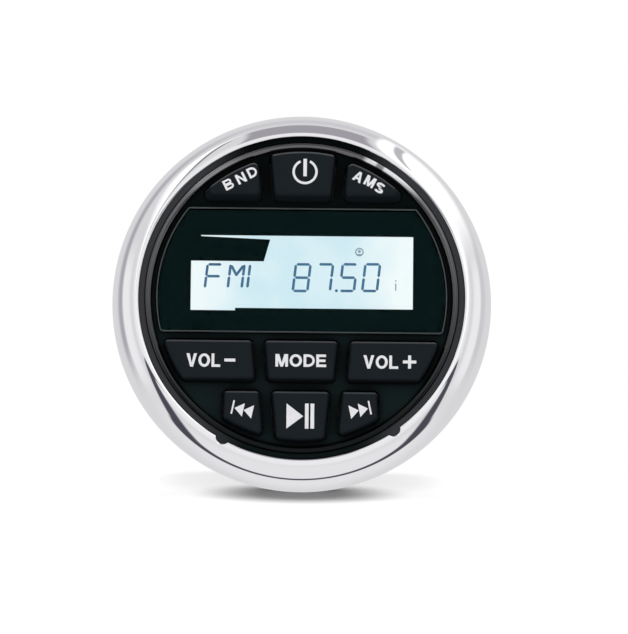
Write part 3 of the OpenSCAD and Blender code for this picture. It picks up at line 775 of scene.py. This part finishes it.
# Word of bold letters fitted to a box and turned about its middle
def word(name, letters, box, body, angle=0.0, stroke_width=WORD_STROKE):
    x0, y0, x1, y1 = box
    total = sum(LETTER_WIDTHS[letter] for letter in letters) + LETTER_SPACE * (len(letters) - 1)
    scale = (x1 - x0) / total
    loops = []
    left = x0
    for letter in letters:
        wide = LETTER_WIDTHS[letter] * scale
        for loop in letter_loops(letter, stroke_width / wide, FLAT_SHARE * stroke_width / (y1 - y0)):
            loops.append([(left + u * wide, y0 + v * (y1 - y0)) for u, v in loop])
        left += wide + LETTER_SPACE * scale
    middle = ((x0 + x1) / 2.0, (y0 + y1) / 2.0)
    raised(name, [turned(loop, middle, angle) for loop in loops], PAINT_LOW, PAINT_HIGH, legend_paint, body)


def sign(name, loops, key):
    raised(name, loops, PAINT_LOW, PAINT_HIGH, legend_paint, f"{key}_key")


def legends():
    word("legend_volume_down", "VOL", (-31.54, -19.93, -22.23, -16.21), "volume_down_key")
    word("legend_mode", "MODE", (-7.05, -19.67, 6.95, -16.18), "mode_key")
    word("legend_volume_up", "VOL", (17.17, -19.97, 26.77, -16.25), "volume_up_key")
    sign("legend_minus", [bar(-21.1, -18.4, -18.09, -17.58)], "volume_down")
    sign("legend_plus", [bar(28.04, -18.43, 31.73, -17.6), bar(29.47, -19.85, 30.3, -16.19)], "volume_up")
    # Small letters, each turned by itself: letter, middle and half width
    small = [
        ("band", 27.0, [("B", -20.62, 31.14, 1.3), ("N", -17.16, 32.86, 1.3), ("D", -14.08, 34.59, 1.3)]),
        ("memory", -28.0, [("A", 15.33, 33.63, 1.3), ("M", 18.55, 32.29, 1.45), ("S", 21.28, 30.54, 1.3)]),
    ]
    for key, lean, letters in small:
        for letter, x, up, half in letters:
            box = (x - half, up - SMALL_HALF, x + half, up + SMALL_HALF)
            word(f"legend_{key}_{letter}", letter, box, f"{key}_key", lean, SMALL_STROKE)
    # Open ring with a bar through its gap
    open_ring = band((0.56, 34.85), 2.83, 3.5, 114.0, 426.0)
    sign("legend_power", [open_ring, bar(0.08, 33.6, 1.04, 38.5)], "power")
    sign("legend_play", [[(-3.84, -36.86), (0.76, -33.36), (-3.84, -29.87)], bar(1.24, -36.8, 2.24, -29.85),
                         bar(2.75, -36.8, 3.78, -29.85)], "play")
    skips = [("previous", -1, (-16.1, -31.7), -12.0), ("next", 1, (16.5, -31.5), 12.0)]
    for key, side, centre, lean in skips:
        loops = [[(-3.0, -1.9), (-0.5, 0.0), (-3.0, 1.9)], [(-0.4, -1.9), (2.1, 0.0), (-0.4, 1.9)],
                 bar(2.4, -1.75, 2.85, 2.05)]
        placed = [[(centre[0] + side * x, centre[1] + y) for x, y in loop] for loop in loops]
        sign(f"legend_{key}", [turned(loop, centre, lean) for loop in placed], key)


# Display figures: leaning strokes in a box
SEGMENTS = {
    "top": [(0.12, 1.0), (0.88, 1.0)], "middle": [(0.12, 0.5), (0.88, 0.5)],
    "bottom": [(0.12, 0.0), (0.88, 0.0)],
    "upper_left": [(0.0, 0.56), (0.0, 0.94)], "upper_right": [(1.0, 0.56), (1.0, 0.94)],
    "lower_left": [(0.0, 0.06), (0.0, 0.44)], "lower_right": [(1.0, 0.06), (1.0, 0.44)],
    "slant_left": [(0.1, 0.92), (0.5, 0.55)], "slant_right": [(0.9, 0.92), (0.5, 0.55)],
}
FIGURES = {
    "F": ["top", "middle", "upper_left", "lower_left"],
    "M": ["upper_left", "lower_left", "upper_right", "lower_right", "slant_left", "slant_right"],
    "1": ["upper_right", "lower_right"],
    "8": ["top", "middle", "bottom", "upper_left", "upper_right", "lower_left", "lower_right"],
    "7": ["top", "upper_right", "lower_right"],
    "5": ["top", "middle", "bottom", "upper_left", "lower_right"],
    "0": ["top", "bottom", "upper_left", "upper_right", "lower_left", "lower_right"],
}


# Stroke with pointed ends, as one loop
def stroke(start, end, width):
    ahead = Vector((end[0] - start[0], end[1] - start[1])).normalized()
    aside = Vector((-ahead[1], ahead[0])) * (width / 2.0)
    tip = ahead * (width / 2.0)
    a = Vector(start)
    b = Vector(end)
    loop = [a - tip, a + aside, b + aside, b + tip, b - aside, a - aside]
    return [tuple(p) for p in loop]


# Strokes of one figure, which lean to the right in their box
def figure(letter, box):
    x0, y0, x1, y1 = box
    inset = FIGURE_STROKE / 2.0
    lean = FIGURE_LEAN * (y1 - y0)
    wide = x1 - x0 - FIGURE_STROKE - lean
    tall = y1 - y0 - FIGURE_STROKE
    loops = []
    for part_name in FIGURES[letter]:
        ends = []
        for u, v in SEGMENTS[part_name]:
            ends.append((x0 + inset + u * wide + v * lean, y0 + inset + v * tall))
        loops.append(stroke(ends[0], ends[1], FIGURE_STROKE))
    return loops


def display_figures():
    row = [("F", (-27.24, 2.44, -21.8, 9.8)), ("M", (-20.88, 2.51, -15.57, 9.87)),
           ("1", (-16.2, 2.57, -14.0, 9.88)), ("8", (-2.88, 1.86, 2.71, 10.06)),
           ("7", (3.4, 1.94, 8.95, 10.13)), ("5", (10.1, 2.0, 15.6, 10.2)),
           ("0", (16.35, 2.06, 21.96, 10.27))]
    for index, (letter, box) in enumerate(row):
        raised(f"figure_{index}_{letter}", figure(letter, box), INK_LOW, INK_HIGH, segment_ink, "unit")
    raised("figure_point", [circle((9.57, 2.4), 0.42, 24)], INK_LOW, INK_HIGH, segment_ink, "unit")
    marks = [band((15.84, 13.3), 0.85, 1.2, 0.0, 360.0), circle((15.84, 13.5), 0.42, 24),
             bar(15.3, 12.4, 16.4, 12.75), bar(25.8, 2.6, 26.15, 4.6), bar(25.8, 5.1, 26.15, 5.5)]
    raised("figure_marks", marks, INK_LOW, INK_HIGH, faint_ink, "unit")


# Rounded glossy ridge around the face
def ridge_trim():
    points = []
    for turn in range(TURN_STEPS):
        x = math.sin(math.tau * turn / TURN_STEPS)
        up = math.cos(math.tau * turn / TURN_STEPS)
        for step in range(RIDGE_STEPS + 1):
            t = math.pi * step / RIDGE_STEPS
            r = RIDGE_MID + RIDGE_HALF * math.cos(t)
            points.append((r * x, r * up, FACE_Z - RIDGE_SUNK + RIDGE_TALL * math.sin(t)))
    faces = ring_faces(TURN_STEPS, RIDGE_STEPS + 1)
    piece = add_mesh("ridge_trim", points, faces, ridge_gloss, "unit", 50.0)


# Polished edge of the lens: a grey piece, so the thin light line along it is partly painted highlight and
# partly its gloss.
# Levels are how far the loop is drawn in and how far it lies behind the front of the lens
def lens_edge():
    shape = [(-FAR, LENS_LOW), (FAR, LENS_LOW), (FAR, LENS_HIGH), (-FAR, LENS_HIGH)]
    levels = [(0.34, 0.02), (0.3, 0.0), (0.12, 0.06), (0.02, 0.2), (0.02, 0.6), (0.34, 0.6)]
    points = []
    for inset, behind in levels:
        loop = outline(shape, FIELD_R, LENS_CORNER, -inset, steps=TURN_STEPS)
        points += [(x, up, LENS_TOP - behind) for x, up in loop]
    faces = ring_faces(len(levels), TURN_STEPS)
    piece = add_mesh("lens_edge", points, faces, lens_rim, "unit", 40.0)


# Floor: the leaning unit rests on its ring and on the rear end of its barrel, so the floor rises from the
# front to there, and goes straight on behind it
def floor():
    slope = math.tan(math.radians(FLOOR_TILT))
    foot_y, foot_z = RING_FOOT
    front_z = foot_z - slope * (FLOOR_REACH + foot_y)
    back_z = foot_z + slope * (BARREL_END - foot_y)
    line = [(-FLOOR_REACH, front_z), RING_FOOT, (BARREL_END, back_z), (FLOOR_REACH, back_z)]
    points = []
    faces = []
    for y, z in line:
        points += [(side * FLOOR_REACH * MM, y * MM, z * MM) for side in (-1, 1)]
    for index in range(len(line) - 1):
        low = 2 * index
        faces.append([low, low + 1, low + 3, low + 2])
    mesh = bpy.data.meshes.new("floor")
    mesh.from_pydata(points, [], faces)
    mesh.materials.append(paper_surface("floor_paper"))
    sheet = bpy.data.objects.new("floor", mesh)
    bpy.context.scene.collection.objects.link(sheet)
    sheet.visible_glossy = False
    sheet.visible_diffuse = False


# Dark border of a pale sheet below: its far edge is a thin line and its sides are broad wedges
def sheet_border(tree, x, y, z):
    drop = math_node(tree, "MAXIMUM", times(tree, z, -1.0), 0.02)
    across = math_node(tree, "DIVIDE", math_node(tree, "ABSOLUTE", x), drop)
    along = math_node(tree, "DIVIDE", y, drop)
    ahead = math_node(tree, "MAXIMUM", math_node(tree, "SUBTRACT", -0.2, along), 0.0)
    limit = math_node(tree, "ADD", times(tree, ahead, 0.46), 1.15)
    beside = math_node(tree, "SUBTRACT", across, limit)
    squared = math_node(tree, "POWER", across, 2.0)
    bow = math_node(tree, "SUBTRACT", 0.36, times(tree, squared, 0.22))
    beyond = math_node(tree, "SUBTRACT", along, bow)
    spread = math_node(tree, "ADD", times(tree, squared, 0.14), 0.08)
    from_end = math_node(tree, "DIVIDE", beyond, spread)
    from_side = math_node(tree, "DIVIDE", beside, times(tree, limit, 0.25))
    rounded = math_node(tree, "SMOOTH_MAX", from_end, from_side)
    rounded.node.inputs[2].default_value = 3.0
    dark = ramp(tree, apart_from(tree, rounded, 0.1), 0.6, 1.1, 1.0, 0.0)
    return times(tree, dark, ramp(tree, z, -0.02, 0.0, 1.0, 0.0))


# Overhead, each with its colour: a bright panel at each side, a stripe at the right, a grey panel in the
# middle and a thin dark gap beside the left panel
def overhead_layers(tree, x, y, z):
    height = math_node(tree, "MAXIMUM", z, 0.02)
    over_x = math_node(tree, "DIVIDE", x, height)
    over_y = math_node(tree, "DIVIDE", y, height)
    above = ramp(tree, z, 0.05, 0.1)
    ahead_only = times(tree, ramp(tree, over_y, -0.08, 0.02, 1.0, 0.0), above)
    panel = times(tree, ramp(tree, apart_from(tree, over_x, 0.02), 0.28, 0.34, 1.0, 0.0), ahead_only,
                  ramp(tree, over_y, -2.4, -1.8))
    right_panel = times(tree, ramp(tree, over_x, 0.36, 0.42), ramp(tree, over_x, 0.6, 2.5, 1.0, 0.0),
                        ramp(tree, over_y, 0.3, 1.5, 1.0, 0.0), above)
    slant = math_node(tree, "ADD", over_x, times(tree, over_y, 0.03))
    stripe = times(tree, ramp(tree, apart_from(tree, slant, 0.53), 0.02, 0.05, 1.0, 0.0),
                   ramp(tree, over_y, -1.8, -1.4), ramp(tree, over_y, 0.6, 1.0, 1.0, 0.0), above)
    near = math_node(tree, "MAXIMUM", times(tree, over_y, -1.0), 0.0)
    edge = times(tree, math_node(tree, "POWER", near, 0.27), 0.655)
    past = times(tree, math_node(tree, "ADD", over_x, edge), -1.0)
    left_panel = times(tree, ramp(tree, past, 0.0, 0.06), ramp(tree, past, 0.25, 0.8, 1.0, 0.0), ahead_only)
    gap = times(tree, ramp(tree, math_node(tree, "ABSOLUTE", past), 0.02, 0.07, 1.0, 0.0),
                ramp(tree, over_y, -0.2, -0.12, 1.0, 0.0), above)
    return [(right_panel, (1.25, 1.25, 1.25)), (left_panel, (1.1, 1.1, 1.1)), (stripe, (0.5, 0.5, 0.53)),
            (panel, (0.36, 0.35, 0.38)), (gap, (0.2, 0.2, 0.23))]


# Around the unit, each with its colour: a darker band at each side, a window at each side and the front
def room_layers(tree, x, y, z):
    belt = times(tree, ramp(tree, apart_from(tree, y, 0.42), 0.05, 0.3, 1.0, 0.0),
                 ramp(tree, x, -0.8, -0.2, 1.0, 0.3), ramp(tree, z, -0.35, -0.05))
    level = math_node(tree, "ABSOLUTE", z)
    window = times(tree, ramp(tree, math_node(tree, "ABSOLUTE", x), 0.7, 0.95),
                   ramp(tree, level, 0.25, 0.5, 0.6, 0.0), ramp(tree, y, 0.1, 0.3, 1.0, 0.0))
    front = ramp(tree, y, -0.97, -0.75, 1.0, 0.0)
    return [(belt, (0.4, 0.4, 0.44)), (window, (0.97, 0.97, 0.98)), (front, (0.86, 0.86, 0.88))]


# Surroundings: white to the camera, a drawn room to reflections, and to all else a soft light from above
# and from the front
def surroundings():
    world = bpy.data.worlds.new("studio")
    bpy.context.scene.world = world
    world.use_nodes = True
    tree = world.node_tree
    x, y, z = axes_of(tree, place_of(tree, "Generated"))
    low = ramp(tree, z, -0.8, -0.3, 1.0, 0.0)
    room = mix_colour(tree, low, rgba((0.7, 0.695, 0.71)), rgba((0.8, 0.795, 0.81)))
    layers = room_layers(tree, x, y, z) + overhead_layers(tree, x, y, z)
    layers.append((sheet_border(tree, x, y, z), (0.07, 0.07, 0.09)))
    for share, colour in layers:
        room = mix_colour(tree, share, room, rgba(colour))
    rays = tree.nodes.new("ShaderNodeLightPath")
    front = times(tree, ramp(tree, y, -1.0, -0.3, 1.3, 0.0), ramp(tree, z, 0.1, 0.5, 1.0, 0.0))
    soft = math_node(tree, "ADD", ramp(tree, z, -0.3, 0.6, 0.08, 0.7), front)
    light = mix_colour(tree, soft, rgba((0.0, 0.0, 0.0)), rgba((1.0, 1.0, 1.0)))
    light.node.clamp_factor = False
    shown = mix_colour(tree, rays.outputs["Is Glossy Ray"], light, room)
    shown = mix_colour(tree, rays.outputs["Is Camera Ray"], shown, rgba((1.0, 1.0, 1.0)))
    background = tree.nodes["Background"]
    tree.links.new(shown, background.inputs["Color"])
    background.inputs["Strength"].default_value = 1.0


def lamp(name, place, target, size, watts):
    data = bpy.data.lights.new(name, "AREA")
    data.shape = "DISK"
    data.size = size
    data.energy = watts
    light = bpy.data.objects.new(name, data)
    light.location = place
    light.rotation_euler = (Vector(target) - Vector(place)).to_track_quat("-Z", "Y").to_euler()
    light.visible_glossy = False
    light.visible_transmission = False
    bpy.context.scene.collection.objects.link(light)


# Camera: below the barrel axis, because the unit leans back, with a slight roll
def camera():
    rise = math.radians(VIEW_RISE)
    forward = Vector((0.0, math.cos(rise), math.sin(rise)))
    upward = Vector((0.0, -math.sin(rise), math.cos(rise)))
    right = Vector((1.0, 0.0, 0.0))
    aim = right * VIEW_ASIDE * MM - upward * VIEW_BELOW * MM
    data = bpy.data.cameras.new("camera")
    data.sensor_width = 36.0
    data.lens = VIEW_LENS
    data.clip_end = 20.0
    view = bpy.data.objects.new("camera", data)
    stance = Matrix((right, upward, -forward)).transposed().to_4x4()
    roll = Matrix.Rotation(math.radians(VIEW_ROLL), 4, "Z")
    view.matrix_world = Matrix.Translation(aim - forward * VIEW_AWAY * MM) @ stance @ roll
    bpy.context.scene.collection.objects.link(view)
    bpy.context.scene.camera = view


chrome_ring()
for key_name in KEYS:
    key_piece(key_name)
legends()
display_figures()
ridge_trim()
lens_edge()
floor()
surroundings()
lamp("overhead", LAMP_PLACE, (0, 0, 0), LAMP_WIDE, LAMP_POWER)
camera()
bpy.context.scene.view_settings.view_transform = "Standard"
